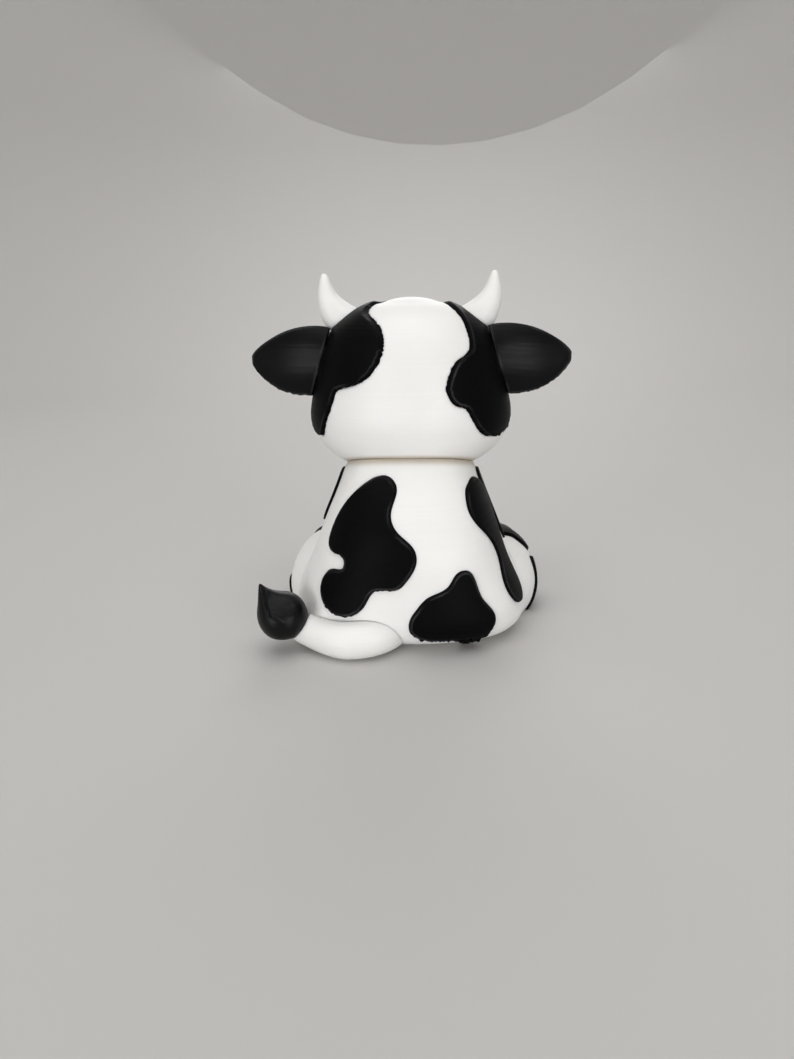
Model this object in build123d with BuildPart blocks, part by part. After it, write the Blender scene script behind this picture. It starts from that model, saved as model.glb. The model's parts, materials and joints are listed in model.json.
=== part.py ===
"""A seated cow figurine, printed as a kit: a white torso, head, legs, horns and tail, with black
patches, ears, hooves and tail tuft that are made apart and pressed into pockets and sockets.

Millimetres. The cow faces -Y, its left is +X, and it rests on Z = 0. The origin is on that face,
under the middle of the figure's box, and the ears spread along the plane Y = 0.
"""

import os
from dataclasses import dataclass, replace
from math import copysign, cos, pi, radians, sin

from build123d import *

# Torso: a lofted bell that leans forward to the neck
torso_width = 41.0
torso_back = 23.0  # how far the back reaches behind the ears
torso_front = 11.4  # how far the belly reaches before them
torso_squareness = 2.4  # the power of its superellipse sections; 2 is an ellipse
torso_section_points = 12
torso_section_shares = (
    # height, half width, reach behind, reach before
    (0.00, 0.81, 0.77, 0.76),
    (0.03, 0.92, 0.88, 0.88),
    (0.09, 0.99, 0.97, 0.96),
    (0.20, 0.97, 1.00, 1.00),
    (0.40, 0.825, 0.975, 1.00),
    (0.59, 0.70, 0.89, 0.96),
    (0.74, 0.60, 0.73, 0.90),
    (0.85, 0.525, 0.565, 0.85),
    (1.00, 0.455, 0.47, 0.80),
)

# Neck: a seat that rises towards the back, with a keyed peg across it
neck_seat_height = 27.4
neck_seat_tilt = 13.5
neck_overrun = 6.6  # how far the torso's form runs on above the seat's middle
neck_peg_side = 9
neck_peg_corner = 1.6
neck_peg_length = 12
neck_key_width = 3
neck_key_depth = 1.4
torso_height = neck_seat_height + neck_overrun

# Head: a revolved profile, flattened from back to front
head_width = 34.6
head_depth = 30.2
head_height = 29.9
head_sunk = 1.4  # how far the head's round base would reach below the seat's middle
head_forward = 1.3  # how far the head's middle lies before the ears
head_profile_shares = (
    # half width, height
    (0.50, 0.030),
    (0.76, 0.094),
    (0.92, 0.180),
    (1.00, 0.310),
    (0.965, 0.480),
    (0.885, 0.680),
    (0.77, 0.812),
    (0.57, 0.915),
    (0.32, 0.983),
)
head_base = neck_seat_height - head_sunk
head_crown = head_base + head_height

# Horns
horn_rise = 4.1  # how far the tips stand above the crown
horn_foot_share = 0.79  # how high on the head a horn starts
horn_route_shares = (
    # across, as a share of the head's half width; height, as a share of the way to the tips
    (0.555, 0.00),
    (0.67, 0.26),
    (0.786, 0.51),
    (0.827, 0.73),
    (0.832, 1.00),
)
horn_forward = 0.6  # how far the horns lie before the ears
horn_diameter = 5.6
horn_radius_shares = (
    # share of the length, share of the radius
    (0.00, 1.00),
    (0.30, 0.96),
    (0.55, 0.80),
    (0.78, 0.56),
    (0.91, 0.40),
    (0.98, 0.24),
    (1.00, 0.08),
)
horn_seat_shares = (0.636, 0.883)  # of the head's half width, and of its height
horn_seat_lean = 37  # from upright towards the side
horn_peg_diameter = 2.6
horn_peg_length = 4

# Ears: a cupped leaf with a tab at its root
ear_length = 12.9  # from the base edge to the tip
ear_height = 11.8
ear_base_share = 0.861  # how far out the base edge stands, of the head's half width
ear_base_lean = 15.5
ear_middle_share = 0.655  # of the head's height
ear_root_depth = 2.4  # how far the leaf's form starts inside its base edge
ear_bulge = 2.4
ear_setback = 1.6  # how far the root lies behind the tip
ear_thickness = 1.7
ear_rim = 0.9
ear_section_shares = (
    # share of the length, height, lift of the middle, bulge, setback
    (0.00, 0.86, 0.000, 1.00, 1.00),
    (0.29, 1.00, 0.000, 0.96, 0.86),
    (0.47, 0.96, -0.010, 0.84, 0.68),
    (0.65, 0.83, -0.020, 0.66, 0.45),
    (0.815, 0.60, -0.015, 0.44, 0.22),
    (0.94, 0.33, 0.005, 0.24, 0.06),
    (1.00, 0.12, 0.020, 0.10, 0.00),
)
ear_tab_height = 4
ear_tab_thickness = 0.9
ear_tab_length = 6
ear_tab_sunk = 4  # how much of the tab lies inside the base edge
ear_tab_depth_share = 0.62  # how deep the tab lies under the leaf's back, of its thickness

# Tail: a fat limb that lies in a groove behind the torso, and the tuft that its tip plugs into
tail_diameter = 6
tail_run = 19.5
tail_standing = 3.5  # how far the tail stands out behind the torso
tail_route_shares = (
    # across, as a share of the run; back, as a share of the reach; height, as a share of the radius
    (-0.02, 0.62, 0.87),
    (0.16, 0.87, 0.93),
    (0.45, 1.00, 1.00),
    (0.70, 0.95, 0.97),
    (0.88, 0.90, 1.27),
    (1.00, 0.88, 1.83),
)
tail_radius_shares = (
    # share of the length, share of the radius
    (0.00, 0.60),
    (0.22, 0.82),
    (0.46, 1.00),
    (0.70, 0.97),
    (0.88, 0.90),
    (1.00, 0.80),
)
tail_plug_diameter = 2.4
tuft_diameter = 8.1
tuft_route_shares = (
    # from the tail's tip: across, back and up, as shares of the tuft's diameter
    (-0.18, 0.02, -0.36),
    (0.075, 0.04, 0.075),
    (0.31, 0.08, 0.42),
    (0.48, 0.11, 0.785),
)
tuft_radius_shares = (
    # share of the length, share of the radius
    (0.00, 0.25),
    (0.04, 0.46),
    (0.12, 0.74),
    (0.22, 0.91),
    (0.38, 0.99),
    (0.52, 0.925),
    (0.64, 0.74),
    (0.76, 0.45),
    (0.88, 0.22),
    (1.00, 0.05),
)

# Hind legs: a thigh beside the torso that runs forward to the hoof
thigh_standing = 2.6  # how far a thigh stands out beside the torso
thigh_width = 16.8
thigh_height = 17.8  # of the whole section, which the floor cuts
thigh_back = 11  # how far the thigh starts behind the ears
thigh_middle = 4.8
hind_ankle = 19.4  # how far the ankle lies before the ears
hind_leg_section_shares = (
    # from the rear to the ankle, shift outwards, height of the middle, width, height
    (0.00, -0.05, 1.00, 0.16, 0.14),
    (0.10, 0.00, 1.00, 0.62, 0.58),
    (0.30, 0.00, 0.99, 0.95, 0.88),
    (0.56, 0.00, 1.00, 1.00, 1.00),
    (0.78, 0.07, 0.98, 0.79, 0.72),
    (1.00, 0.12, 0.98, 0.61, 0.515),
)
hind_seat_share = 0.855  # of the torso's half width
hind_peg_diameter = 5
hind_peg_length = 5
hind_peg_forward = 3
thigh_across = torso_width / 2 + thigh_standing - thigh_width / 2

# Front legs: posts before the belly
front_leg_across = 5.0
front_leg_diameter = 7.2
front_leg_standing = 4.4  # how far the foot's middle lies before the belly
front_leg_top_share = 0.91  # of the neck seat's height
front_leg_section_shares = (
    # height between hoof and top, how far before the ears, radius
    (0.00, 1.00, 1.02),
    (0.28, 0.98, 0.96),
    (0.58, 0.90, 1.00),
    (0.82, 0.76, 0.92),
    (0.95, 0.64, 0.66),
    (1.00, 0.58, 0.36),
)
front_peg_diameter = 3.4
front_peg_length = 4
front_peg_share = 0.585  # of the neck seat's height
front_leg_foot = torso_front + front_leg_standing

# Hooves
hoof_flare = 0.3  # how far a hoof stands out round its leg
hind_hoof_length = 7.1
hind_hoof_shares = (
    # share of the length, share of the size at the leg
    (0.00, 1.00),
    (0.45, 1.02),
    (0.78, 0.97),
    (0.94, 0.86),
    (1.00, 0.70),
)
front_hoof_height = 4.4
front_hoof_shares = (
    # share of the way down, share of the size at the leg
    (0.00, 1.00),
    (0.50, 1.04),
    (0.85, 1.06),
    (1.00, 0.99),
)
cleft_width = 0.9
cleft_depth = 2.6
hoof_peg_diameter = 3.4
hoof_peg_length = 3

# Muzzle
muzzle_width = 18.5
muzzle_depth = 12.5
muzzle_height = 11.5
muzzle_middle_share = 0.308  # of the head's height
muzzle_sunk = 1.0  # how far its middle lies inside the head's face
muzzle_peg_diameter = 5
muzzle_peg_length = 4
muzzle_forward = head_forward + head_depth / 2 - muzzle_sunk
muzzle_middle = head_base + head_height * muzzle_middle_share

# Fits
patch_proud = 0.5
patch_pocket = 0.9
fit_gap = 0.1
overrun = 1
prism_reach = 40


@dataclass
class Carrier:
    """What an outline is measured on: the point its planes turn about, and the form's size."""

    centre: tuple
    width: float
    height: float


@dataclass
class Inlay:
    """An outline drawn on a plane that looks outwards from a carrier's centre.

    Its direction turns from the back towards the cow's left, and rises from the level. Left and low
    are the lower left corner of the outline as seen from outside, measured from the centre. Sizes
    across are shares of the carrier's width, and sizes upwards are shares of its height.
    """

    carrier: Carrier
    turn: float
    left_share: float
    low_share: float
    width_share: float
    height_share: float
    point_shares: tuple
    rise: float = 0


torso_carrier = Carrier((0, 0, 0), torso_width, torso_height)
head_carrier = Carrier((0, 0, head_base), head_width, head_height)
left_thigh_carrier = Carrier((thigh_across, 0, thigh_middle), thigh_width, thigh_height)
right_thigh_carrier = Carrier((-thigh_across, 0, thigh_middle), thigh_width, thigh_height)
muzzle_carrier = Carrier((0, -muzzle_forward, muzzle_middle), muzzle_width, muzzle_height)

# Patches of the head
left_head_inlay = Inlay(
    head_carrier,
    turn=55,
    left_share=-0.410,
    low_share=0.244,
    width_share=0.610,
    height_share=0.724,
    point_shares=(
        (0.57, 1.01),
        (0.68, 0.925),
        (0.80, 0.875),
        (0.92, 0.80),
        (0.99, 0.69),
        (1.00, 0.58),
        (0.96, 0.48),
        (0.88, 0.42),
        (0.76, 0.385),
        (0.69, 0.355),
        (0.67, 0.29),
        (0.64, 0.20),
        (0.58, 0.095),
        (0.49, 0.00),
        (0.38, 0.02),
        (0.27, 0.11),
        (0.15, 0.25),
        (0.03, 0.39),
        (0.00, 0.60),
        (0.08, 0.82),
        (0.25, 0.96),
        (0.44, 1.01),
    ),
)
right_head_inlay = Inlay(
    head_carrier,
    turn=-55,
    left_share=-0.168,
    low_share=0.241,
    width_share=0.572,
    height_share=0.726,
    point_shares=(
        (0.46, 1.00),
        (0.375, 0.91),
        (0.33, 0.82),
        (0.30, 0.74),
        (0.27, 0.665),
        (0.20, 0.61),
        (0.095, 0.555),
        (0.035, 0.475),
        (0.00, 0.395),
        (0.01, 0.30),
        (0.055, 0.255),
        (0.115, 0.235),
        (0.16, 0.175),
        (0.215, 0.09),
        (0.325, 0.02),
        (0.47, 0.00),
        (0.61, 0.015),
        (0.71, 0.065),
        (0.83, 0.195),
        (0.95, 0.33),
        (1.00, 0.555),
        (0.93, 0.79),
        (0.76, 0.945),
        (0.60, 1.00),
    ),
)

# Patches of the torso
big_back_inlay = Inlay(
    torso_carrier,
    turn=25,
    left_share=-0.129,
    low_share=0.191,
    width_share=0.395,
    height_share=0.626,
    point_shares=(
        (0.49, 1.00),
        (0.59, 0.97),
        (0.66, 0.91),
        (0.68, 0.77),
        (0.80, 0.63),
        (0.975, 0.51),
        (1.00, 0.43),
        (0.93, 0.295),
        (0.85, 0.23),
        (0.64, 0.21),
        (0.54, 0.09),
        (0.39, 0.00),
        (0.19, 0.015),
        (0.05, 0.12),
        (0.03, 0.19),
        (0.06, 0.27),
        (0.16, 0.33),
        (0.30, 0.36),
        (0.30, 0.42),
        (0.16, 0.455),
        (0.06, 0.50),
        (0.05, 0.59),
        (0.16, 0.815),
        (0.29, 0.93),
    ),
)
lower_back_inlay = Inlay(
    torso_carrier,
    turn=-20,
    left_share=-0.176,
    low_share=0.000,
    width_share=0.344,
    height_share=0.407,
    point_shares=(
        (0.63, 1.00),
        (0.51, 0.935),
        (0.45, 0.845),
        (0.355, 0.78),
        (0.205, 0.715),
        (0.085, 0.585),
        (0.01, 0.46),
        (0.015, 0.305),
        (0.115, 0.21),
        (0.30, 0.155),
        (0.54, 0.14),
        (0.65, 0.06),
        (0.74, 0.00),
        (0.81, 0.055),
        (0.90, 0.155),
        (0.97, 0.285),
        (1.00, 0.40),
        (0.935, 0.535),
        (0.845, 0.65),
        (0.795, 0.77),
        (0.75, 0.91),
        (0.70, 0.98),
    ),
)
long_back_inlay = Inlay(
    torso_carrier,
    turn=-50,
    left_share=-0.132,
    low_share=0.182,
    width_share=0.261,
    height_share=0.594,
    point_shares=(
        (0.34, 0.99),
        (0.60, 1.00),
        (0.81, 0.94),
        (0.92, 0.85),
        (0.88, 0.73),
        (0.77, 0.57),
        (0.76, 0.43),
        (0.84, 0.26),
        (0.90, 0.11),
        (0.80, 0.01),
        (0.61, 0.00),
        (0.43, 0.07),
        (0.345, 0.155),
        (0.335, 0.26),
        (0.375, 0.40),
        (0.315, 0.52),
        (0.16, 0.63),
        (0.045, 0.705),
        (0.00, 0.79),
        (0.055, 0.875),
        (0.16, 0.945),
    ),
)
left_flank_inlay = Inlay(
    torso_carrier,
    turn=85,
    left_share=-0.134,
    low_share=0.518,
    width_share=0.280,
    height_share=0.276,
    point_shares=(
        (0.50, 1.00),
        (0.78, 0.96),
        (0.96, 0.78),
        (1.00, 0.50),
        (0.88, 0.22),
        (0.66, 0.00),
        (0.40, 0.06),
        (0.22, 0.28),
        (0.00, 0.46),
        (0.06, 0.72),
        (0.24, 0.90),
    ),
)
right_side_inlay = Inlay(
    torso_carrier,
    turn=-88,
    left_share=-0.127,
    low_share=0.415,
    width_share=0.259,
    height_share=0.380,
    point_shares=(
        (0.12, 0.98),
        (0.36, 1.00),
        (0.66, 0.90),
        (0.92, 0.70),
        (1.00, 0.48),
        (0.84, 0.24),
        (0.56, 0.06),
        (0.30, 0.00),
        (0.10, 0.10),
        (0.00, 0.34),
        (0.04, 0.62),
        (0.00, 0.84),
    ),
)

# Patches of the hind legs; the haunch and hip patches run down past the floor, which cuts them
left_haunch_inlay = Inlay(
    left_thigh_carrier,
    turn=90,
    left_share=-0.529,
    low_share=-0.312,
    width_share=0.682,
    height_share=0.333,
    point_shares=(
        (0.55, 1.00),
        (0.75, 0.97),
        (0.86, 0.86),
        (0.95, 0.60),
        (1.00, 0.30),
        (0.97, 0.00),
        (0.54, -0.04),
        (0.10, 0.00),
        (0.00, 0.30),
        (0.06, 0.62),
        (0.25, 0.88),
    ),
)
left_knee_inlay = Inlay(
    left_thigh_carrier,
    turn=168,
    rise=33,
    left_share=-0.271,
    low_share=-0.194,
    width_share=0.459,
    height_share=0.473,
    point_shares=(
        (0.50, 1.00),
        (0.72, 0.97),
        (0.84, 0.80),
        (0.92, 0.55),
        (1.00, 0.30),
        (0.90, 0.08),
        (0.60, 0.00),
        (0.28, 0.10),
        (0.05, 0.35),
        (0.00, 0.62),
        (0.16, 0.88),
    ),
)
right_knee_inlay = Inlay(
    right_thigh_carrier,
    turn=-150,
    rise=42,
    left_share=-0.241,
    low_share=-0.204,
    width_share=0.482,
    height_share=0.505,
    point_shares=(
        (0.56, 1.00),
        (0.39, 0.90),
        (0.24, 0.70),
        (0.12, 0.60),
        (0.035, 0.44),
        (0.00, 0.25),
        (0.13, 0.065),
        (0.44, 0.00),
        (0.80, 0.11),
        (1.00, 0.36),
        (0.97, 0.68),
        (0.80, 0.93),
    ),
)
right_hip_inlay = Inlay(
    right_thigh_carrier,
    turn=-90,
    left_share=-0.165,
    low_share=-0.312,
    width_share=0.553,
    height_share=0.545,
    point_shares=(
        (0.60, 1.00),
        (0.81, 0.87),
        (0.97, 0.63),
        (1.00, 0.37),
        (0.92, 0.14),
        (0.78, 0.00),
        (0.44, -0.03),
        (0.10, 0.00),
        (0.02, 0.165),
        (0.00, 0.33),
        (0.06, 0.485),
        (0.20, 0.577),
        (0.31, 0.67),
        (0.34, 0.825),
        (0.43, 0.96),
    ),
)

# Eyes and nostrils
oval_shares = (
    (0.50, 1.00),
    (0.85, 0.85),
    (1.00, 0.50),
    (0.85, 0.15),
    (0.50, 0.00),
    (0.15, 0.15),
    (0.00, 0.50),
    (0.15, 0.85),
)
left_eye_inlay = Inlay(
    head_carrier,
    turn=153,
    left_share=-0.046,
    low_share=0.562,
    width_share=0.092,
    height_share=0.147,
    point_shares=oval_shares,
)
left_nostril_inlay = Inlay(
    muzzle_carrier,
    turn=152,
    rise=14,
    left_share=-0.043,
    low_share=-0.078,
    width_share=0.086,
    height_share=0.191,
    point_shares=oval_shares,
)


def across_inlay(inlay):
    """The same inlay on the cow's other side."""
    across, *rest = inlay.carrier.centre
    return replace(
        inlay,
        carrier=replace(inlay.carrier, centre=(-across, *rest)),
        turn=-inlay.turn,
        left_share=-inlay.left_share - inlay.width_share,
        point_shares=tuple((1 - across, up) for across, up in inlay.point_shares),
    )


def superellipse(half_width, half_depth, middle):
    """One section of the torso, a closed curve whose points are evenly spaced in its parameter."""
    turns = [step / torso_section_points for step in range(torso_section_points + 1)]
    points = []
    for turn in turns[:-1]:
        across, along = [
            copysign(abs(part) ** (2 / torso_squareness), part)
            for part in (cos(2 * pi * turn), sin(2 * pi * turn))
        ]
        points.append(Vector(half_width * across, middle + half_depth * along))
    return Edge.make_spline(points, periodic=True, parameters=turns)


def torso_form(grow):
    """The torso's outer form, moved out sideways by grow."""
    with BuildPart() as form:
        for height, wide, behind, before in torso_section_shares:
            back = torso_back * behind
            front = torso_front * before
            half_width = torso_width / 2 * wide + grow
            half_depth = (back + front) / 2 + grow
            with BuildSketch(Plane.XY.offset(torso_height * height)):
                with BuildLine():
                    add(superellipse(half_width, half_depth, (back - front) / 2))
                make_face()
        loft()
    return form.part


def head_form(grow):
    """The head's outer form, moved out by grow about its middle."""
    half_width = head_width / 2
    middle = head_base + head_height / 2
    larger = (half_width + grow) / half_width
    with BuildPart() as form:
        with BuildSketch(Plane.XZ):
            with BuildLine():
                skin = Spline(
                    (0, head_base),
                    *[(half_width * wide, head_base + head_height * up) for wide, up in head_profile_shares],
                    (0, head_crown),
                    tangents=[(1, 0), (-1, 0)],
                )
                Line(skin @ 0, skin @ 1)
            make_face()
        revolve(axis=Axis.Z)
        scale(by=(larger, larger * head_depth / head_width, larger), about=(0, 0, middle))
    return Pos(0, -head_forward, 0) * form.part


def muzzle_form(grow):
    """The muzzle's outer form, moved out by grow."""
    with BuildPart() as form:
        Sphere(1)
        scale(by=(muzzle_width / 2 + grow, muzzle_depth / 2 + grow, muzzle_height / 2 + grow))
    return Pos(0, -muzzle_forward, muzzle_middle) * form.part


def hind_leg_form(grow):
    """The left hind leg's outer form, moved out by grow, down to the floor."""
    with BuildPart() as form:
        for along, outwards, middle, wide, high in hind_leg_section_shares:
            across = thigh_across + thigh_width * outwards
            with BuildSketch(Plane.XZ.offset(-thigh_back + (thigh_back + hind_ankle) * along)):
                with Locations((across, thigh_middle * middle)):
                    Ellipse(thigh_width / 2 * wide + grow, thigh_height / 2 * high + grow)
        loft()
        add(below_floor, mode=Mode.SUBTRACT)
    return form.part


def tapered(points, radii):
    """A round limb along a smooth route, with a radius at each share of its length."""
    with BuildLine() as route:
        Spline(*points)
    with BuildPart() as limb:
        for share, radius in radii:
            with BuildSketch(Plane(route.line @ share, z_dir=route.line % share)):
                Circle(radius)
        loft()
    return limb.part


def tail_form(grow):
    """The tail's outer form, from its root in the torso to its tip in the tuft."""
    radius = tail_diameter / 2
    return tapered(tail_points, [(share, radius * size + grow) for share, size in tail_radius_shares])


def tail_plug(gap):
    """The plug inside the tail's tip, or with a gap, the hole for it in the tuft."""
    radius = tail_plug_diameter / 2 + gap
    return tapered(tail_points[-3:], [(share, radius) for share in (0, 0.5, 1)])


def tuft_form(grow):
    """The tuft's outer form: a round bulb over the tail's end that runs out into a curl."""
    radius = tuft_diameter / 2
    return tapered(tuft_points, [(share, radius * size + grow) for share, size in tuft_radius_shares])


def outline_points(inlay, slack):
    """The points of an inlay's outline, each moved out square to its neighbours by slack."""
    wide = inlay.carrier.width
    high = inlay.carrier.height
    points = [
        Vector(
            wide * (inlay.left_share + inlay.width_share * across),
            high * (inlay.low_share + inlay.height_share * up),
        )
        for across, up in inlay.point_shares
    ]
    before = points[-1:] + points[:-1]
    after = points[1:] + points[:1]
    winding = copysign(1, sum(one.cross(other).Z for one, other in zip(points, after)))
    moved = []
    for last, point, following in zip(before, points, after):
        along = (following - last).normalized()
        moved.append(point + Vector(along.Y, -along.X) * slack * winding)
    return moved


def outline_prism(inlay, slack):
    """A prism on an inlay's outline, grown by slack, that runs outwards from the inlay's centre."""
    turn = radians(inlay.turn)
    rise = radians(inlay.rise)
    outwards = Vector(sin(turn) * cos(rise), cos(turn) * cos(rise), sin(rise))
    facing = Plane(inlay.carrier.centre, x_dir=(-cos(turn), sin(turn), 0), z_dir=outwards)
    with BuildPart() as prism:
        with BuildSketch(facing):
            with BuildLine():
                Spline(*outline_points(inlay, slack), periodic=True)
            make_face()
        extrude(amount=prism_reach)
    return prism.part


def inlay_piece(inlay, skin, core, holes=()):
    """The piece that an inlay's outline cuts between a form's proud skin and its pocketed core."""
    with BuildPart() as piece:
        add(outline_prism(inlay, 0))
        add(skin, mode=Mode.INTERSECT)
        add([core, *holes], mode=Mode.SUBTRACT)
    return piece.part


def pocket(inlay, core):
    """What an inlay's pocket takes out of the form that carries it."""
    with BuildPart() as cut:
        add(outline_prism(inlay, fit_gap))
        add(core, mode=Mode.SUBTRACT)
    return cut.part


def peg(seat, diameter, length, gap=0):
    """A round peg that runs in through its seat, or with a gap, the socket for it."""
    with BuildPart() as pin:
        with BuildSketch(seat.offset(overrun)):
            Circle(diameter / 2 + gap)
        extrude(amount=-(length + gap + overrun))
    return pin.part


def neck_peg_form(gap):
    """The keyed peg across the neck, or with a gap, the socket for it."""
    side = neck_peg_side + 2 * gap
    with BuildPart() as pin:
        with BuildSketch(neck_seat):
            RectangleRounded(side, side, neck_peg_corner)
            with Locations((0, side / 2)):
                Rectangle(neck_key_width + 2 * gap, 2 * neck_key_depth)
        extrude(amount=neck_peg_length / 2 + gap, both=True)
    return pin.part


def ear_leaf():
    """The left ear's leaf, from inside the head to its tip."""
    root = ear_base_across - ear_root_depth
    length = ear_base_across + ear_length - root
    with BuildPart() as leaf:
        for along, high, lift, bulge, setback in ear_section_shares:
            low = ear_middle + ear_height * (lift - high / 2)
            middle = ear_middle + ear_height * lift
            top = ear_middle + ear_height * (lift + high / 2)
            edge = ear_setback * setback
            behind = edge + ear_rim * (bulge + 1) / 4
            before = edge - ear_rim * (bulge + 1) / 4
            back = edge + ear_bulge * bulge
            front = back - ear_thickness * (bulge + 1) / 2
            with BuildSketch(Plane.YZ.offset(root + length * along)):
                with BuildLine():
                    ThreePointArc((behind, low), (back, middle), (behind, top))
                    Line((behind, top), (before, top))
                    ThreePointArc((before, top), (front, middle), (before, low))
                    Line((before, low), (behind, low))
                make_face()
        loft()
    return leaf.part


def ear_tab(gap):
    """The tab at the left ear's root, or with a gap, the slot for it."""
    middle = ear_setback + ear_bulge - ear_thickness * ear_tab_depth_share
    with BuildPart() as tab:
        with BuildSketch(Plane.YZ.offset(ear_base_across - ear_tab_sunk - gap)):
            with Locations((middle, ear_middle)):
                RectangleRounded(
                    ear_tab_thickness + 2 * gap, ear_tab_height + 2 * gap, ear_tab_thickness / 3
                )
        extrude(amount=ear_tab_length + gap)
    return tab.part


def hoof(sections, toe, leg_peg):
    """A lofted hoof with a cleft in its toe and a peg for its leg."""
    with BuildPart() as form:
        for plane, half_width, half_height in sections:
            with BuildSketch(plane):
                Ellipse(half_width, half_height)
        loft()
        with Locations(toe):
            Box(cleft_width, cleft_depth * 2, torso_height, mode=Mode.SUBTRACT)
        add(below_floor, mode=Mode.SUBTRACT)
        add(leg_peg)
    return form.part


def other_side(piece):
    """The same piece on the cow's other side."""
    return mirror(piece, about=Plane.YZ)


below_floor = Pos(0, 0, -torso_width) * Box(*[torso_width * 3] * 2, torso_width * 2)
neck_seat = Plane.XY.offset(neck_seat_height).rotated((neck_seat_tilt, 0, 0))
horn_lean = radians(horn_seat_lean)
horn_seat_out, horn_seat_up = horn_seat_shares
horn_seat = Plane(
    (head_width / 2 * horn_seat_out, -horn_forward, head_base + head_height * horn_seat_up),
    z_dir=(sin(horn_lean), 0, cos(horn_lean)),
)
ear_lean = radians(ear_base_lean)
ear_base_across = head_width / 2 * ear_base_share
ear_middle = head_base + head_height * ear_middle_share
ear_base = Plane((ear_base_across, 0, ear_middle), z_dir=(cos(ear_lean), 0, sin(ear_lean)))
hind_seat = Plane((torso_width / 2 * hind_seat_share, -hind_peg_forward, thigh_middle), z_dir=(1, 0, 0))
front_peg_height = neck_seat_height * front_peg_share
front_seat = Plane((front_leg_across, -torso_front, front_peg_height), z_dir=(0, -1, 0))
muzzle_seat = Plane((0, -head_depth / 2 - head_forward, muzzle_middle), z_dir=(0, -1, 0))
tail_reach = torso_back + tail_standing - tail_diameter / 2
tail_points = [
    (tail_run * run, tail_reach * back, tail_diameter / 2 * up) for run, back, up in tail_route_shares
]
tuft_points = [
    Vector(*tail_points[-1]) + Vector(*shares) * tuft_diameter for shares in tuft_route_shares
]

torso_skin = torso_form(patch_proud)
torso_body = torso_form(0)
torso_core = torso_form(-patch_pocket)
head_skin = head_form(patch_proud)
head_body = head_form(0)
head_core = head_form(-patch_pocket)
hind_leg_body = hind_leg_form(0)
hind_leg_skin = hind_leg_form(patch_proud)
hind_leg_core = hind_leg_form(-patch_pocket)

pieces = {}

# Patches of the torso
torso_inlays = {
    "big_back_patch": big_back_inlay,
    "lower_back_patch": lower_back_inlay,
    "long_back_patch": long_back_inlay,
    "left_flank_patch": left_flank_inlay,
    "right_side_patch": right_side_inlay,
}
for name, inlay in torso_inlays.items():
    pieces[name] = inlay_piece(inlay, torso_skin, torso_core)

# Neck peg
pieces["neck_peg"] = neck_peg_form(0)

# Torso
hind_socket = peg(hind_seat, hind_peg_diameter, hind_peg_length, fit_gap)
front_socket = peg(front_seat, front_peg_diameter, front_peg_length, fit_gap)
with BuildPart() as torso:
    add(torso_body)
    with Locations(neck_seat):
        Box(
            torso_width * 2,
            torso_width * 2,
            torso_height,
            align=(Align.CENTER, Align.CENTER, Align.MIN),
            mode=Mode.SUBTRACT,
        )
    add([pocket(inlay, torso_core) for inlay in torso_inlays.values()], mode=Mode.SUBTRACT)
    add(
        [
            neck_peg_form(fit_gap),
            tail_form(fit_gap),
            hind_socket,
            other_side(hind_socket),
            front_socket,
            other_side(front_socket),
        ],
        mode=Mode.SUBTRACT,
    )
pieces["torso"] = torso.part

# Patches and eyes of the head
horn_socket = peg(horn_seat, horn_peg_diameter, horn_peg_length, fit_gap)
ear_slot = ear_tab(fit_gap)
head_inlays = {
    "left_head_patch": left_head_inlay,
    "right_head_patch": right_head_inlay,
    "left_eye": left_eye_inlay,
    "right_eye": across_inlay(left_eye_inlay),
}
head_fits = [horn_socket, other_side(horn_socket), ear_slot, other_side(ear_slot)]
for name, inlay in head_inlays.items():
    holes = head_fits if name.endswith("patch") else ()
    pieces[name] = inlay_piece(inlay, head_skin, head_core, holes)

# Head
with BuildPart() as head:
    add(head_body)
    with Locations(neck_seat):
        Box(
            head_width * 2,
            head_width * 2,
            head_width,
            align=(Align.CENTER, Align.CENTER, Align.MAX),
            mode=Mode.SUBTRACT,
        )
    add([pocket(inlay, head_core) for inlay in head_inlays.values()], mode=Mode.SUBTRACT)
    muzzle_socket = peg(muzzle_seat, muzzle_peg_diameter, muzzle_peg_length, fit_gap)
    add([neck_peg_form(fit_gap), muzzle_socket, *head_fits], mode=Mode.SUBTRACT)
pieces["head"] = head.part

# Horns: they sit on the head's patches
horn_foot = head_base + head_height * horn_foot_share
horn_points = [
    (head_width / 2 * out, -horn_forward, horn_foot + (head_crown + horn_rise - horn_foot) * up)
    for out, up in horn_route_shares
]
with BuildPart() as horn:
    add(tapered(horn_points, [(share, horn_diameter / 2 * size) for share, size in horn_radius_shares]))
    add(head_skin, mode=Mode.SUBTRACT)
    add(peg(horn_seat, horn_peg_diameter, horn_peg_length))
pieces["left_horn"] = horn.part
pieces["right_horn"] = other_side(horn.part)

# Ears: they sit on the head's patches
with BuildPart() as ear:
    add(ear_leaf())
    with Locations(ear_base):
        Box(*[ear_height * 2] * 3, align=(Align.CENTER, Align.CENTER, Align.MAX), mode=Mode.SUBTRACT)
    add(head_skin, mode=Mode.SUBTRACT)
    add(ear_tab(0))
pieces["left_ear"] = ear.part
pieces["right_ear"] = other_side(ear.part)

# Muzzle and nostrils
muzzle_skin = muzzle_form(patch_proud)
muzzle_core = muzzle_form(-patch_pocket)
nostril_inlays = {"left_nostril": left_nostril_inlay, "right_nostril": across_inlay(left_nostril_inlay)}
for name, inlay in nostril_inlays.items():
    pieces[name] = inlay_piece(inlay, muzzle_skin, muzzle_core)
with BuildPart() as muzzle:
    add(muzzle_form(0))
    add([pocket(inlay, muzzle_core) for inlay in nostril_inlays.values()], mode=Mode.SUBTRACT)
    add(head_body, mode=Mode.SUBTRACT)
    add(peg(muzzle_seat, muzzle_peg_diameter, muzzle_peg_length))
pieces["muzzle"] = muzzle.part

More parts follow.
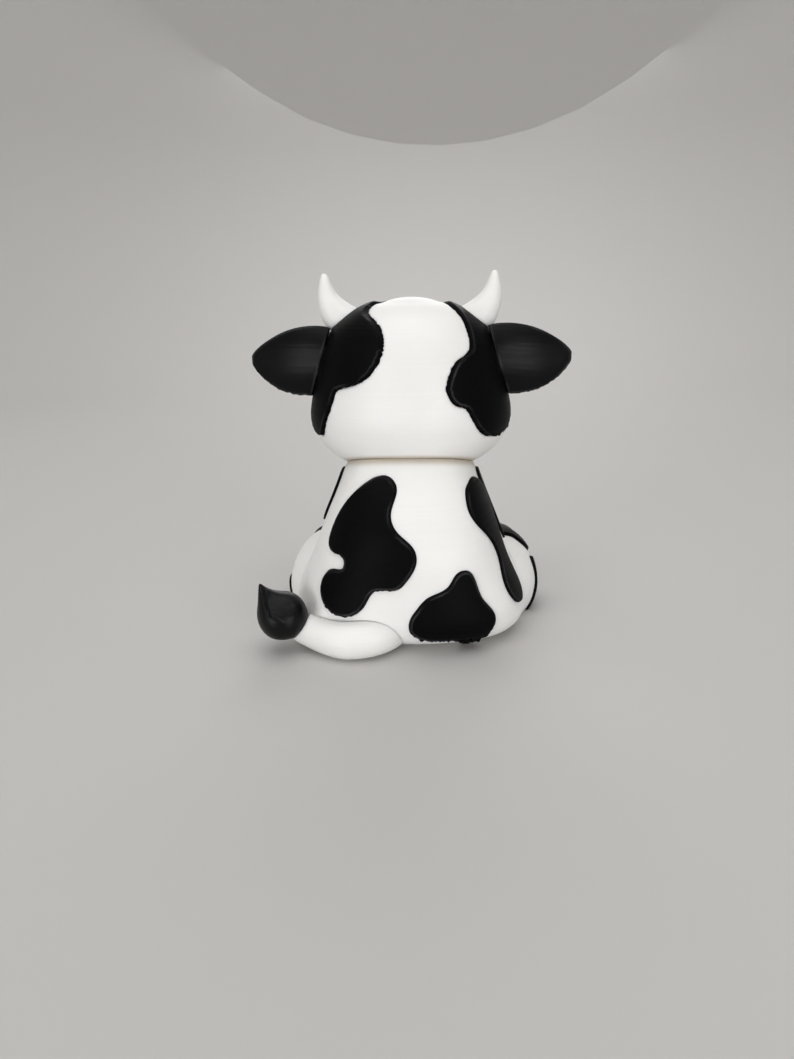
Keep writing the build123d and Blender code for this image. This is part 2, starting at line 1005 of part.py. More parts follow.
# Tail and tuft
with BuildPart() as tail:
    add(tail_form(0))
    add(tuft_form(fit_gap), mode=Mode.SUBTRACT)
    add(tail_plug(0))
pieces["tail"] = tail.part
with BuildPart() as tail_tuft:
    add(tuft_form(0))
    add(tail_plug(fit_gap), mode=Mode.SUBTRACT)
pieces["tail_tuft"] = tail_tuft.part

# Hind legs and their patches
hind_leg_inlays = {
    "left": {"left_haunch_patch": left_haunch_inlay, "left_knee_patch": left_knee_inlay},
    "right": {"right_hip_patch": right_hip_inlay, "right_knee_patch": right_knee_inlay},
}
ankle = hind_leg_section_shares[-1]
ankle_across = thigh_across + thigh_width * ankle[1]
ankle_height = thigh_middle * ankle[2]
hind_hoof_seat = Plane((ankle_across, -hind_ankle, ankle_height), z_dir=(0, -1, 0), x_dir=(1, 0, 0))
hind_hoof_peg = peg(hind_hoof_seat, hoof_peg_diameter, hoof_peg_length)
hind_hoof_socket = peg(hind_hoof_seat, hoof_peg_diameter, hoof_peg_length, fit_gap)
with BuildPart() as hind_leg:
    add(hind_leg_body)
    add([torso_body, hind_hoof_socket], mode=Mode.SUBTRACT)
    add(peg(hind_seat, hind_peg_diameter, hind_peg_length))
hind_legs = {"left": (hind_leg.part, hind_leg_skin, hind_leg_core)}
hind_legs["right"] = tuple(other_side(form) for form in hind_legs["left"])
for side, inlays in hind_leg_inlays.items():
    leg, skin, core = hind_legs[side]
    for name, inlay in inlays.items():
        pieces[name] = inlay_piece(inlay, skin, core, [torso_body])
    with BuildPart() as pocketed_leg:
        add(leg)
        add([pocket(inlay, core) for inlay in inlays.values()], mode=Mode.SUBTRACT)
    pieces[f"{side}_hind_leg"] = pocketed_leg.part

# Hind hooves
hind_hoof_sections = [
    (
        hind_hoof_seat.offset(hind_hoof_length * along),
        (thigh_width / 2 * ankle[3] + hoof_flare) * size,
        (thigh_height / 2 * ankle[4] + hoof_flare) * size,
    )
    for along, size in hind_hoof_shares
]
hind_hoof = hoof(hind_hoof_sections, (ankle_across, -hind_ankle - hind_hoof_length), hind_hoof_peg)
pieces["left_hind_hoof"] = hind_hoof
pieces["right_hind_hoof"] = other_side(hind_hoof)

# Front legs
front_leg_length = neck_seat_height * front_leg_top_share - front_hoof_height
front_foot = Location((front_leg_across, -front_leg_foot, 0))
front_hoof_seat = Plane((front_leg_across, -front_leg_foot, front_hoof_height), z_dir=(0, 0, -1))
with BuildPart() as front_leg:
    for up, forward, size in front_leg_section_shares:
        with BuildSketch(Plane.XY.offset(front_hoof_height + front_leg_length * up)):
            with Locations((front_leg_across, -front_leg_foot * forward)):
                Circle(front_leg_diameter / 2 * size)
    loft()
    add([torso_body, hind_leg_body], mode=Mode.SUBTRACT)
    add(peg(front_hoof_seat, hoof_peg_diameter, hoof_peg_length, fit_gap), mode=Mode.SUBTRACT)
    add(peg(front_seat, front_peg_diameter, front_peg_length))
pieces["left_front_leg"] = front_leg.part
pieces["right_front_leg"] = other_side(front_leg.part)

# Front hooves
foot_radius = front_leg_diameter / 2 * front_leg_section_shares[0][2] + hoof_flare
front_hoof_sections = [
    (
        Plane.XY.offset(front_hoof_height * (1 - down)).move(front_foot),
        foot_radius * size,
        foot_radius * size,
    )
    for down, size in front_hoof_shares
]
front_hoof = hoof(
    front_hoof_sections,
    (front_leg_across, -front_leg_foot - foot_radius),
    peg(front_hoof_seat, hoof_peg_diameter, hoof_peg_length),
)
pieces["left_front_hoof"] = front_hoof
pieces["right_front_hoof"] = other_side(front_hoof)

os.makedirs("parts", exist_ok=True)
for name, piece in pieces.items():
    piece.label = name
    export_step(piece, f"parts/{name}.step")
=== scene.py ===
"""The looks of the seated cow figurine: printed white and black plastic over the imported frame.

Everything is in metres in the frame's own axes: the cow faces -Y, its left is +X, the floor is Z = 0.
The finer meshes of the black pieces, the head, the horns and the tail are shaped in millimetres and
brought back to metres.
"""

import json
from math import cos, exp, hypot, pi, radians, sin

import bmesh
import bpy
from mathutils import Matrix, Vector, kdtree, noise


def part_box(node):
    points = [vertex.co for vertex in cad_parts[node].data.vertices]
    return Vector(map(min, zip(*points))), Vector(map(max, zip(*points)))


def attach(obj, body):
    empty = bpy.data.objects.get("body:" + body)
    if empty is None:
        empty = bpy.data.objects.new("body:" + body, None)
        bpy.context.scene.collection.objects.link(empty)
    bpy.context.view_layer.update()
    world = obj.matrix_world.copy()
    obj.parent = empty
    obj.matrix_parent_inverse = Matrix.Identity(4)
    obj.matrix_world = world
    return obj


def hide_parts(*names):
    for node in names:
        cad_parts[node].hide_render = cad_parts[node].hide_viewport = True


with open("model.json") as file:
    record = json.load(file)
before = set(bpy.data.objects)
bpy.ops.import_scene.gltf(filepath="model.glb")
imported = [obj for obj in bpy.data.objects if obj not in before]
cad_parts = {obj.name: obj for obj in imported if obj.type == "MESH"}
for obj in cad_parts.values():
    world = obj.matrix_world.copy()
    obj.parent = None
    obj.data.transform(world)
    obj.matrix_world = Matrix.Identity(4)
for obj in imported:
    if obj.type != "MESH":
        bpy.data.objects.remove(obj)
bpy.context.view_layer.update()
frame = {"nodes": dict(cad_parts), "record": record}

MM = 0.001

# Camera, as the photograph was taken
camera_place = Vector((-6.64, 130.64, 52.0)) * MM
camera_heading = radians(184.08)  # from +Y, about Z
camera_pitch = radians(15.86)  # downwards
camera_roll = radians(-0.97)
camera_reach = (5 * MM, 5)  # the nearest and farthest that it sees
photo_height = 1059
focal_pixels = 733.4
sensor_height = 36

# Floor and wall
floor_colour = (0.53, 0.52, 0.51, 1)
floor_roughness = 0.7
floor_radius = 700 * MM
wall_height = 900 * MM
sweep_radius = 250 * MM
sweep_steps = 16
steps_around = 96

# Lamps: a low window on each side of the camera, one lamp overhead and one in front, and the world
figure_middle = Vector((0, 0, 30)) * MM
window_place = Vector((235, 390, 70)) * MM
window_size = (190 * MM, 130 * MM)
window_power = 0.135
window_spread = radians(80)
overhead_place = Vector((0, 60, 650)) * MM
overhead_size = (700 * MM, 700 * MM)
overhead_power = 1.8
overhead_colour = (1, 0.995, 0.99)
front_place = Vector((0, -650, 330)) * MM
front_size = (420 * MM, 420 * MM)
front_power = 1.5
lamp_white = (1, 1, 1)
wide_spread = radians(180)
world_colour = (1, 0.99, 0.98, 1)
world_strength = 0.68

# Printed plastic
white_colour = (0.82, 0.815, 0.80, 1)
black_colour = (0.0025, 0.0025, 0.0028, 1)
# Painted highlight: a lighter grey painted on the thin raised line inside the edges of the black pieces
rim_highlight_colour = (0.075, 0.075, 0.08, 1)
layer_height = 0.2 * MM
wave_scale = 2 * pi / (20 * layer_height)  # gives one wave a layer
relief_depth = layer_height / 5
streak_stretch = (60, 60, 1 / layer_height)
streak_scale = 0.6
streak_detail = 2
streak_share = 0.6  # of the relief, and the layer lines have the rest
roughness_range = 0.07  # either way
darkest_streak = 0.96  # of the colour

# Finishes: roughness, level of gloss, strength of the relief
white_finish = (0.45, 0.4, 0.2)
black_finish = (0.31, 0.12, 0.7)
tuft_finish = (0.34, 0.16, 0.7)
patch_finish = (0.42, 0.035, 0.9)

# How light goes into the white plastic
scatter_weight = 0.35
scatter_radius = (1.0, 0.85, 0.65)
scatter_scale = 1.2 * MM

# Painted shade: a soft warm shade painted into the white on both sides of the seam under the head
neck_seat = Vector((0, 0, 27.4)) * MM
neck_seat_tilt = radians(13.5)  # up towards the back
neck_seat_direction = Vector((0, -sin(neck_seat_tilt), cos(neck_seat_tilt)))
neck_painted_shade_colour = (0.50, 0.44, 0.36, 1)
torso_painted_shade_reach = 1.5 * MM
head_painted_shade_reach = 0.75 * MM

# Finer meshes, in millimetres
cell_size = 0.16
head_cell_size = 0.24
edge_rounds = 5  # of smoothing
ball_subdivisions = 5

# Edges of the patches and the ears, in millimetres
wall_facing = 0.6  # a face that looks outwards or inwards by less than this is a side wall
upright_lean = 0.2  # how much outwards leans up on a piece round an upright axis
bead_height = 0.05  # of the thin raised line that runs inside a piece's edge
bead_inset = 0.30
bead_spread = 0.11
# The raised line and its painted highlight come and go together
bead_patchiness_size = 3.5  # of the stretches over which the raised line comes and goes
bead_patchiness_middle = 0.45
bead_patchiness_contrast = 1.3
rag_size = 0.55  # of one tooth of a ragged edge
rag_gain = 1.6  # brings the teeth up to the raggedness given
rag_reach = 0.35  # how far in from the edge the raggedness fades
rag_turned = 0.25  # a wall that looks down by more than this begins to be ragged
rag_turn_range = 0.5  # and is ragged all the way from this much more
rag_front = -5  # forward of this place on Y the edges are smooth
rag_back = 3  # and back from this one they are ragged all the way

# What the patches lie on: a point inside it
torso_middle = Vector((0, 0, 12))
head_middle = Vector((0, -1.3, 41))
left_thigh_middle = Vector((14.7, 0, 4.8))
right_thigh_middle = Vector((-14.7, 0, 4.8))
patches = {
    # inside point, whether it is an upright axis, raggedness
    "big_back_patch": (torso_middle, True, 0.14),
    "lower_back_patch": (torso_middle, True, 0.27),
    "long_back_patch": (torso_middle, True, 0.08),
    "left_flank_patch": (torso_middle, True, 0.08),
    "right_side_patch": (torso_middle, True, 0.08),
    "left_head_patch": (head_middle, False, 0.16),
    "right_head_patch": (head_middle, False, 0.32),
    "left_haunch_patch": (left_thigh_middle, False, 0.06),
    "left_knee_patch": (left_thigh_middle, False, 0.06),
    "right_hip_patch": (right_thigh_middle, False, 0.06),
    "right_knee_patch": (right_thigh_middle, False, 0.06),
}
ears = ("left_ear", "right_ear")
ear_front = Vector((0, -400, 45))  # so far before the ears that outwards is to the back
ear_raggedness = 0.12
rounded_nodes = (
    "left_eye", "right_eye", "left_nostril", "right_nostril",
    "left_hind_hoof", "right_hind_hoof", "left_front_hoof", "right_front_hoof",
)

# The tuft's crease, the ridge beside it and the hollow above, in millimetres across and up
tuft_face = Vector((0.3, 0.85, 0.45)).normalized()  # outwards on the side that has them
tuft_face_edge = -0.1  # of how far a place faces that way, where they begin
tuft_face_full = 0.5
crease_width = 0.30
crease_depth = 0.9
crease_points = (
    (22.72, 10.63), (22.40, 9.93), (22.15, 9.18), (21.82, 8.36), (21.32, 7.46), (20.70, 6.58),
)
crease_fade_height = 6.8
crease_full_height = 9.0
ridge_width = 0.45
ridge_height = 0.5
ridge_points = (
    (22.29, 10.43), (22.08, 9.59), (21.49, 8.65), (20.79, 7.89), (19.96, 7.23), (19.10, 6.41),
)
ridge_fade_height = 5.5
ridge_full_height = 8.0
hollow_middle = (18.5, 9.3)
hollow_spread = 2.2
hollow_depth = 0.7
tuft_rounds = 4  # of smoothing

# The tail's end draws in behind the tuft, in millimetres
tail_bend_start = Vector((9, 23.3, 2.9))
tail_bend_end = Vector((17.5, 21.2, 3.3))
tail_end_shift = Vector((0, -1.2, 0))
tail_end_scale = 0.92

# The head's crown, in millimetres, with distances from its upright axis
crown_foot = 50
crown_rise = 0.15
crown_spread = 2.6
shoulder_reach = 4.9
shoulder_spread = 1.5
shoulder_drop = 0.33
crown_clear = 4.8  # smoothed all the way as far as this
crown_edge = 6.2  # and not at all beyond this
crown_rounds = 240  # of smoothing
crown_patches = ("left_head_patch", "right_head_patch")

# The horns thin out to their tips, and flare on their inner side where they leave the head
horns = ("left_horn", "right_horn")
horn_middle = Vector((13.1, -0.6, 54))  # of the left one, in millimetres, and the right one mirrors it
horn_tip = Vector((14.5, -0.6, 60))
horn_tip_scale = 0.75
horn_flare = 1.2
horn_flare_foot = 52.5
horn_flare_top = 57
horn_half_width = 2.4


def bell(distance, spread):
    """One at no distance, fading to nothing over a few spreads."""
    return exp(-((distance / spread) ** 2))


def clamp(value):
    """A value kept from 0 to 1."""
    return min(max(value, 0), 1)


def smooth_share(value, low, high):
    """How far a value has come from low to high, from 0 to 1, with soft ends."""
    share = clamp((value - low) / (high - low))
    return share * share * (3 - 2 * share)


def distance_to_run(point, start, end):
    """How far a point lies from a straight run."""
    run = end - start
    share = clamp((point - start).dot(run) / run.length_squared)
    return (start + run * share - point).length


def distance_to_line(point, corners):
    """How far a point lies from a line of straight runs."""
    corners = [Vector(corner) for corner in corners]
    return min(distance_to_run(point, low, high) for low, high in zip(corners, corners[1:]))


def new_material(name):
    """An empty node material with its shader and output."""
    material = bpy.data.materials.new(name)
    material.use_nodes = True
    nodes = material.node_tree.nodes
    nodes.clear()
    shader = nodes.new("ShaderNodeBsdfPrincipled")
    output = nodes.new("ShaderNodeOutputMaterial")
    material.node_tree.links.new(shader.outputs["BSDF"], output.inputs["Surface"])
    return material, shader


def print_streaks(tree, place):
    """The output of a noise drawn out along the layers of a print."""
    stretch = tree.nodes.new("ShaderNodeMapping")
    stretch.inputs["Scale"].default_value = streak_stretch
    tree.links.new(place, stretch.inputs["Vector"])
    streaks = tree.nodes.new("ShaderNodeTexNoise")
    streaks.inputs["Scale"].default_value = streak_scale
    streaks.inputs["Detail"].default_value = streak_detail
    tree.links.new(stretch.outputs["Vector"], streaks.inputs["Vector"])
    return streaks.outputs["Fac"]


def layer_relief(tree, place, streaks, strength):
    """The output of a bump with level layer lines and streaks."""
    layers = tree.nodes.new("ShaderNodeTexWave")
    layers.wave_type = "BANDS"
    layers.bands_direction = "Z"
    layers.inputs["Scale"].default_value = wave_scale
    layers.inputs["Distortion"].default_value = 0
    tree.links.new(place, layers.inputs["Vector"])
    height = tree.nodes.new("ShaderNodeMix")
    height.data_type = "FLOAT"
    height.inputs["Factor"].default_value = streak_share
    tree.links.new(layers.outputs["Fac"], height.inputs["A"])
    tree.links.new(streaks, height.inputs["B"])
    bump = tree.nodes.new("ShaderNodeBump")
    bump.inputs["Strength"].default_value = strength
    bump.inputs["Distance"].default_value = relief_depth
    tree.links.new(height.outputs["Result"], bump.inputs["Height"])
    return bump.outputs["Normal"]


def uneven_roughness(tree, streaks, roughness):
    """The output of a roughness that varies a little with the streaks."""
    gloss = tree.nodes.new("ShaderNodeMapRange")
    gloss.inputs["To Min"].default_value = roughness - roughness_range
    gloss.inputs["To Max"].default_value = roughness + roughness_range
    tree.links.new(streaks, gloss.inputs["Value"])
    return gloss.outputs["Result"]


def uneven_colour(tree, streaks, colour):
    """The output of a colour that darkens a little with the streaks."""
    tint = tree.nodes.new("ShaderNodeMix")
    tint.data_type = "RGBA"
    tint.inputs["A"].default_value = tuple(part * darkest_streak for part in colour[:3]) + (1,)
    tint.inputs["B"].default_value = colour
    tree.links.new(streaks, tint.inputs["Factor"])
    return tint.outputs["Result"]


def mixed(tree, share, paint, colour):
    """The output of a node that mixes a colour into the paint by a share."""
    mix = tree.nodes.new("ShaderNodeMix")
    mix.data_type = "RGBA"
    tree.links.new(share, mix.inputs["Factor"])
    tree.links.new(paint, mix.inputs["A"])
    mix.inputs["B"].default_value = colour
    return mix.outputs["Result"]


def rim_highlight_share(tree, streaks):
    """The output of the share of painted highlight: the mesh's rim, broken up by the streaks."""
    rim = tree.nodes.new("ShaderNodeAttribute")
    rim.attribute_name = "rim"
    broken_highlight = tree.nodes.new("ShaderNodeMath")
    broken_highlight.operation = "MULTIPLY"
    tree.links.new(rim.outputs["Fac"], broken_highlight.inputs[0])
    tree.links.new(streaks, broken_highlight.inputs[1])
    return broken_highlight.outputs["Value"]


def painted_seam_shade_share(tree, place, direction, reach):
    """The output of the share of painted shade: full at the neck seat, and fading out over its reach.
    """
    offset = tree.nodes.new("ShaderNodeVectorMath")
    offset.operation = "SUBTRACT"
    offset.inputs[1].default_value = neck_seat
    tree.links.new(place, offset.inputs[0])
    along = tree.nodes.new("ShaderNodeVectorMath")
    along.operation = "DOT_PRODUCT"
    along.inputs[1].default_value = direction
    tree.links.new(offset.outputs["Vector"], along.inputs[0])
    fading = tree.nodes.new("ShaderNodeMapRange")
    fading.interpolation_type = "SMOOTHSTEP"
    fading.inputs["From Min"].default_value = reach
    fading.inputs["From Max"].default_value = 0
    tree.links.new(along.outputs["Value"], fading.inputs["Value"])
    return fading.outputs["Result"]


def printed_plastic(name, colour, finish, scatter=0, rimmed=False, seam=None):
    """Printed plastic: level layer lines in its relief, with a little unevenness in colour and gloss.

    A rimmed one shows the painted highlight colour on the thin line inside an edge. A seam is the
    direction and the reach over which the painted warm shade fades out from the neck seat.
    """
    roughness, gloss_level, relief = finish
    material, shader = new_material(name)
    tree = material.node_tree
    place = tree.nodes.new("ShaderNodeTexCoord").outputs["Object"]
    streaks = print_streaks(tree, place)
    paint = uneven_colour(tree, streaks, colour)
    # Painted highlight on the thin line inside an edge
    if rimmed:
        paint = mixed(tree, rim_highlight_share(tree, streaks), paint, rim_highlight_colour)
    # Painted shade: a warm darkening mixed into the colour near the seam under the head
    if seam:
        direction, reach = seam
        paint = mixed(tree, painted_seam_shade_share(tree, place, direction, reach), paint, neck_painted_shade_colour)
    tree.links.new(paint, shader.inputs["Base Color"])
    tree.links.new(uneven_roughness(tree, streaks, roughness), shader.inputs["Roughness"])
    tree.links.new(layer_relief(tree, place, streaks, relief), shader.inputs["Normal"])
    shader.inputs["Specular IOR Level"].default_value = gloss_level
    if scatter:
        shader.inputs["Subsurface Weight"].default_value = scatter
        shader.inputs["Subsurface Radius"].default_value = scatter_radius
        shader.inputs["Subsurface Scale"].default_value = scatter_scale
    return material


def white_plastic(name, seam=None):
    """The white plastic, with or without the painted shade at the seam."""
    return printed_plastic(name, white_colour, white_finish, scatter=scatter_weight, seam=seam)


def black_plastic(name, finish, rimmed=True):
    """The black plastic in one of its finishes, with or without the painted highlight on the line
    inside its edges.
    """
    return printed_plastic(name, black_colour, finish, rimmed=rimmed)


def floor_paint():
    """The plain pale paint of the floor and the wall."""
    material, shader = new_material("floor")
    shader.inputs["Base Color"].default_value = floor_colour
    shader.inputs["Roughness"].default_value = floor_roughness
    return material


def finer_copy(name, size=cell_size, with_ball=False):
    """A node's solid as a new object in millimetres: an even fine mesh with its edges rounded off.

    With a ball, the round one that the solid's box holds at its foot is filled up.
    """
    mesh = frame["nodes"][name].data.copy()
    mesh.name = f"{name}_print"
    mesh.transform(Matrix.Scale(1 / MM, 4))
    if with_ball:
        fill_ball(mesh, name)
    piece = bpy.data.objects.new(mesh.name, mesh)
    bpy.context.scene.collection.objects.link(piece)
    cells = piece.modifiers.new("cells", "REMESH")
    cells.mode = "VOXEL"
    cells.voxel_size = size
    smooth(piece, edge_rounds)
    return piece


def fill_ball(mesh, name):
    """Adds the ball that a node's box holds at its foot."""
    low, high = (Vector(corner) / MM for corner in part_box(name))
    radius = (high.y - low.y) / 2
    middle = Vector(((low.x + high.x) / 2, (low.y + high.y) / 2, low.z + radius))
    grid = bmesh.new()
    grid.from_mesh(mesh)
    bmesh.ops.create_icosphere(
        grid, subdivisions=ball_subdivisions, radius=radius, matrix=Matrix.Translation(middle)
    )
    grid.to_mesh(mesh)
    grid.free()


def smooth(piece, rounds, group=""):
    """Applies the piece's modifiers, with rounds of smoothing last, all over or in one vertex group."""
    smoothing = piece.modifiers.new("smooth", "SMOOTH")
    smoothing.iterations = rounds
    smoothing.vertex_group = group
    graph = bpy.context.evaluated_depsgraph_get()
    mesh = bpy.data.meshes.new_from_object(piece.evaluated_get(graph))
    piece.modifiers.clear()
    old = piece.data
    piece.data = mesh
    name = old.name
    bpy.data.meshes.remove(old)
    mesh.name = name


def reshape(piece, move):
    """Moves each vertex of a piece by what a function gives for its place."""
    for vertex in piece.data.vertices:
        vertex.co += move(vertex.co)


def hand_over(piece, name, plastic):
    """Brings a finished piece back to metres and puts it in its node's place."""
    piece.data.transform(Matrix.Scale(MM, 4))
    piece.data.polygons.foreach_set("use_smooth", [True] * len(piece.data.polygons))
    piece.data.materials.clear()
    piece.data.materials.append(plastic)
    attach(piece, "root")
    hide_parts(name)


def walls_and_skin(piece, middle, upright):
    """The vertices of a thin piece's side walls, and those of its outer skin."""
    walls = []
    skin = []
    for vertex in piece.data.vertices:
        outward = vertex.co - middle
        if upright:
            outward.z = outward.length * upright_lean
        facing = vertex.normal.dot(outward.normalized())
        if abs(facing) < wall_facing:
            walls.append(vertex)
        elif facing > 0:
            skin.append(vertex)
    return walls, skin


def edge_details(piece, middle, upright, raggedness):
    """Gives a patch the thin bead inside its edge, with its share of painted highlight, and the ragged
    lower edge, of a print.
    """
    walls, skin = walls_and_skin(piece, middle, upright)
    tree = kdtree.KDTree(len(walls))
    for index, vertex in enumerate(walls):
        tree.insert(vertex.co, index)
    tree.balance()
    rim = piece.data.attributes.new("rim", "FLOAT", "POINT")
    moves = {}
    for vertex in walls:
        down = clamp((-vertex.normal.z - rag_turned) / rag_turn_range)
        tooth = noise.noise(vertex.co / rag_size) * smooth_share(vertex.co.y, rag_front, rag_back)
        moves[vertex.index] = vertex.normal * (raggedness * down * tooth * rag_gain)
    for vertex in skin:
        _, index, inset = tree.find(vertex.co)
        bead = bell(inset - bead_inset, bead_spread)
        bead *= clamp(bead_patchiness_middle + bead_patchiness_contrast * noise.noise(vertex.co / bead_patchiness_size))
        # The bead's share of painted highlight, kept in the rim attribute
        rim.data[vertex.index].value = bead
        edge_move = moves[walls[index].index] * bell(inset, rag_reach)
        moves[vertex.index] = vertex.normal * bead_height * bead + edge_move
    for index, move in moves.items():
        piece.data.vertices[index].co += move


def tuft_details(piece):
    """Shapes the tuft's outer side: its crease, the ridge beside it and the hollow above."""
    for vertex in piece.data.vertices:
        facing = smooth_share(vertex.normal.dot(tuft_face), tuft_face_edge, tuft_face_full)
        flat = Vector((vertex.co.x, vertex.co.z))
        height = vertex.co.z
        crease = crease_depth * bell(distance_to_line(flat, crease_points), crease_width)
        crease *= smooth_share(height, crease_fade_height, crease_full_height)
        ridge = ridge_height * bell(distance_to_line(flat, ridge_points), ridge_width)
        ridge *= smooth_share(height, ridge_fade_height, ridge_full_height)
        hollow = hollow_depth * bell((flat - Vector(hollow_middle)).length, hollow_spread)
        vertex.co += tuft_face * (ridge - crease - hollow) * facing
    smooth(piece, tuft_rounds)


def crown_move(place):
    """Turns the head's flat crown into a low dome."""
    if place.z < crown_foot:
        return Vector()
    away = hypot(place.x, place.y - head_middle.y)
    dome = crown_rise * bell(away, crown_spread)
    shoulder = shoulder_drop * bell(away - shoulder_reach, shoulder_spread)
    return Vector((0, 0, dome - shoulder))


def smooth_crown(piece):
    """Takes the facets off the head's crown, clear of the patches' pockets."""
    crown = piece.vertex_groups.new(name="crown")
    for vertex in piece.data.vertices:
        if vertex.co.z > crown_foot:
            away = hypot(vertex.co.x, vertex.co.y - head_middle.y)
            crown.add((vertex.index,), 1 - smooth_share(away, crown_clear, crown_edge), "REPLACE")
    smooth(piece, crown_rounds, crown.name)


def tail_move(place):
    """Draws the tail's end in behind the tuft and thins it."""
    share = smooth_share(place.x, tail_bend_start.x, tail_bend_end.x)
    along = (place.x - tail_bend_start.x) / (tail_bend_end.x - tail_bend_start.x)
    inward = (tail_bend_start.lerp(tail_bend_end, along) - place) * (1 - tail_end_scale)
    inward.x = 0
    return (tail_end_shift + inward) * share


def horn_move(place):
    """Thins a horn towards its tip, and flares its foot towards the middle of the head."""
    side = 1 if place.x > 0 else -1
    along = (place.z - horn_middle.z) / (horn_tip.z - horn_middle.z)
    middle = horn_middle.lerp(horn_tip, along)
    middle.x *= side
    inward = middle - place
    thinner = inward * (1 - horn_tip_scale) * smooth_share(place.z, horn_middle.z, horn_tip.z)
    inner_side = clamp(inward.x * side / horn_half_width)
    flare = horn_flare * inner_side * (1 - smooth_share(place.z, horn_flare_foot, horn_flare_top))
    return Vector((thinner.x - flare * side, thinner.y, 0))


def paint_nodes():
    """Gives every node of the frame the plastic of its slot, and the torso its own."""
    plastics = {"white_print": white_print, "black_print": black_print}
    for name, node in frame["nodes"].items():
        node.data.materials.clear()
        node.data.materials.append(plastics[slots[name]])
    frame["nodes"]["torso"].data.materials[0] = white_torso


def make_patches():
    """The black patches of the torso, the head and the thighs."""
    for name, (middle, upright, raggedness) in patches.items():
        patch = finer_copy(name)
        edge_details(patch, middle, upright, raggedness)
        if name in crown_patches:
            reshape(patch, crown_move)
        hand_over(patch, name, black_patch)


def make_ears():
    """The ears, with the same edges as the patches."""
    for name in ears:
        ear = finer_copy(name)
        edge_details(ear, ear_front, False, ear_raggedness)
        hand_over(ear, name, black_print)


def make_rounded_pieces():
    """The eyes, nostrils and hooves, with rounded edges only."""
    for name in rounded_nodes:
        hand_over(finer_copy(name), name, black_print)


def make_tuft():
    """The tuft at the tail's end."""
    tuft = finer_copy("tail_tuft", with_ball=True)
    tuft_details(tuft)
    hand_over(tuft, "tail_tuft", black_tuft)


def make_head():
    """The head, with its crown rounded."""
    head = finer_copy("head", head_cell_size)
    reshape(head, crown_move)
    smooth_crown(head)
    hand_over(head, "head", white_head)


def make_horns():
    """The two horns."""
    for name in horns:
        horn = finer_copy(name)
        reshape(horn, horn_move)
        hand_over(horn, name, white_print)


def make_tail():
    """The tail."""
    tail = finer_copy("tail")
    reshape(tail, tail_move)
    hand_over(tail, "tail", white_print)


def sweep_profile():
    """Out and up, from the first ring of the floor over the sweep to the top of the wall."""
    profile = [(floor_radius - sweep_radius, 0)]
    for step in range(1, sweep_steps + 1):
        angle = pi / 2 * step / sweep_steps
        out = floor_radius - sweep_radius + sweep_radius * sin(angle)
        profile.append((out, sweep_radius * (1 - cos(angle))))
    profile.append((floor_radius, wall_height))
    return profile


def make_stage():
    """A plain pale floor that sweeps up into a round wall."""
    mesh = bpy.data.meshes.new("floor")
    grid = bmesh.new()
    centre = grid.verts.new((0, 0, 0))
    rings = []
    for out, up in sweep_profile():
        ring = []
        for step in range(steps_around):
            angle = 2 * pi * step / steps_around
            ring.append(grid.verts.new((out * cos(angle), out * sin(angle), up)))
        rings.append(ring)
    for step in range(steps_around):
        grid.faces.new((centre, rings[0][step], rings[0][(step + 1) % steps_around]))
    for low, high in zip(rings, rings[1:]):
        for step in range(steps_around):
            following = (step + 1) % steps_around
            grid.faces.new((low[step], high[step], high[following], low[following]))
    for face in grid.faces:
        face.smooth = True
    grid.to_mesh(mesh)
    grid.free()
    floor = bpy.data.objects.new("floor", mesh)
    bpy.context.scene.collection.objects.link(floor)
    mesh.materials.append(floor_paint())


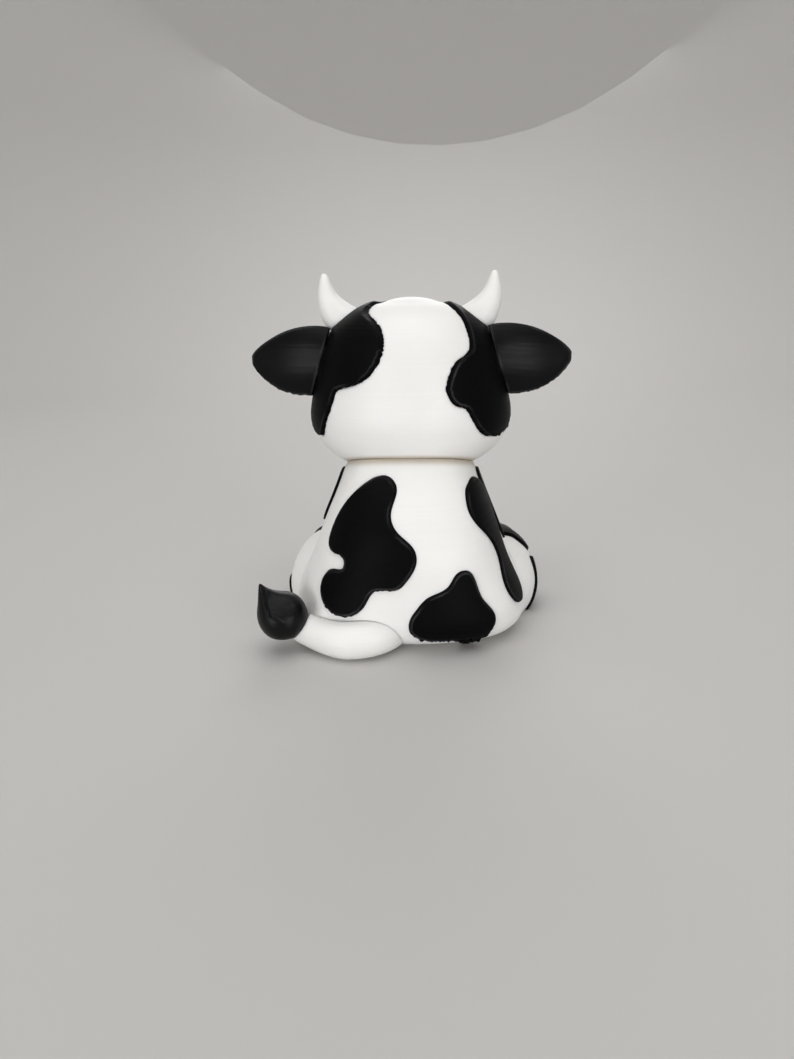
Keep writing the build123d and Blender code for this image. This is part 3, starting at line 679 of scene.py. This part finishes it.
def add_light(name, place, size, power, colour=lamp_white, spread=wide_spread):
    """A soft light that looks at the figure's middle."""
    lamp = bpy.data.lights.new(name, "AREA")
    lamp.shape = "RECTANGLE"
    lamp.size, lamp.size_y = size
    lamp.energy = power
    lamp.color = colour
    lamp.spread = spread
    light = bpy.data.objects.new(name, lamp)
    bpy.context.scene.collection.objects.link(light)
    light.location = place
    towards = figure_middle - light.location
    light.rotation_euler = towards.to_track_quat("-Z", "Y").to_euler()


def make_light():
    """Even studio light: two low windows, a lamp overhead, one in front, and a pale world."""
    mirrored = window_place * Vector((-1, 1, 1))
    add_light("left_window", window_place, window_size, window_power, spread=window_spread)
    add_light("right_window", mirrored, window_size, window_power, spread=window_spread)
    add_light("overhead", overhead_place, overhead_size, overhead_power, overhead_colour)
    add_light("front", front_place, front_size, front_power)
    world = bpy.data.worlds.new("studio")
    bpy.context.scene.world = world
    world.use_nodes = True
    world.node_tree.nodes["Background"].inputs["Color"].default_value = world_colour
    world.node_tree.nodes["Background"].inputs["Strength"].default_value = world_strength


def make_camera():
    """The camera at the photograph's place, direction and field of view."""
    lens = bpy.data.cameras.new("camera")
    lens.sensor_fit = "VERTICAL"
    lens.sensor_height = sensor_height
    lens.lens = sensor_height * focal_pixels / photo_height
    lens.clip_start, lens.clip_end = camera_reach
    camera = bpy.data.objects.new("camera", lens)
    bpy.context.scene.collection.objects.link(camera)
    turn = Matrix.Rotation(camera_heading, 4, "Z")
    tip = Matrix.Rotation(pi / 2 - camera_pitch, 4, "X")
    roll = Matrix.Rotation(camera_roll, 4, "Z")
    camera.matrix_world = Matrix.Translation(camera_place) @ turn @ tip @ roll
    bpy.context.scene.camera = camera


slots = {part["node"]: part["material_slot"] for part in frame["record"]["subparts"]}
white_print = white_plastic("white_print")
# The torso and the head have the painted warm shade on their sides of the seam under the head
white_torso = white_plastic("white_torso", (-neck_seat_direction, torso_painted_shade_reach))
white_head = white_plastic("white_head", (neck_seat_direction, head_painted_shade_reach))
# The rimmed black plastics carry the painted highlight on the line inside their edges
black_print = black_plastic("black_print", black_finish)
black_tuft = black_plastic("black_tuft", tuft_finish, rimmed=False)
black_patch = black_plastic("black_patch", patch_finish)
paint_nodes()
make_patches()
make_ears()
make_rounded_pieces()
make_tuft()
make_head()
make_horns()
make_tail()
make_stage()
make_light()
make_camera()
bpy.context.scene.view_settings.view_transform = "Standard"
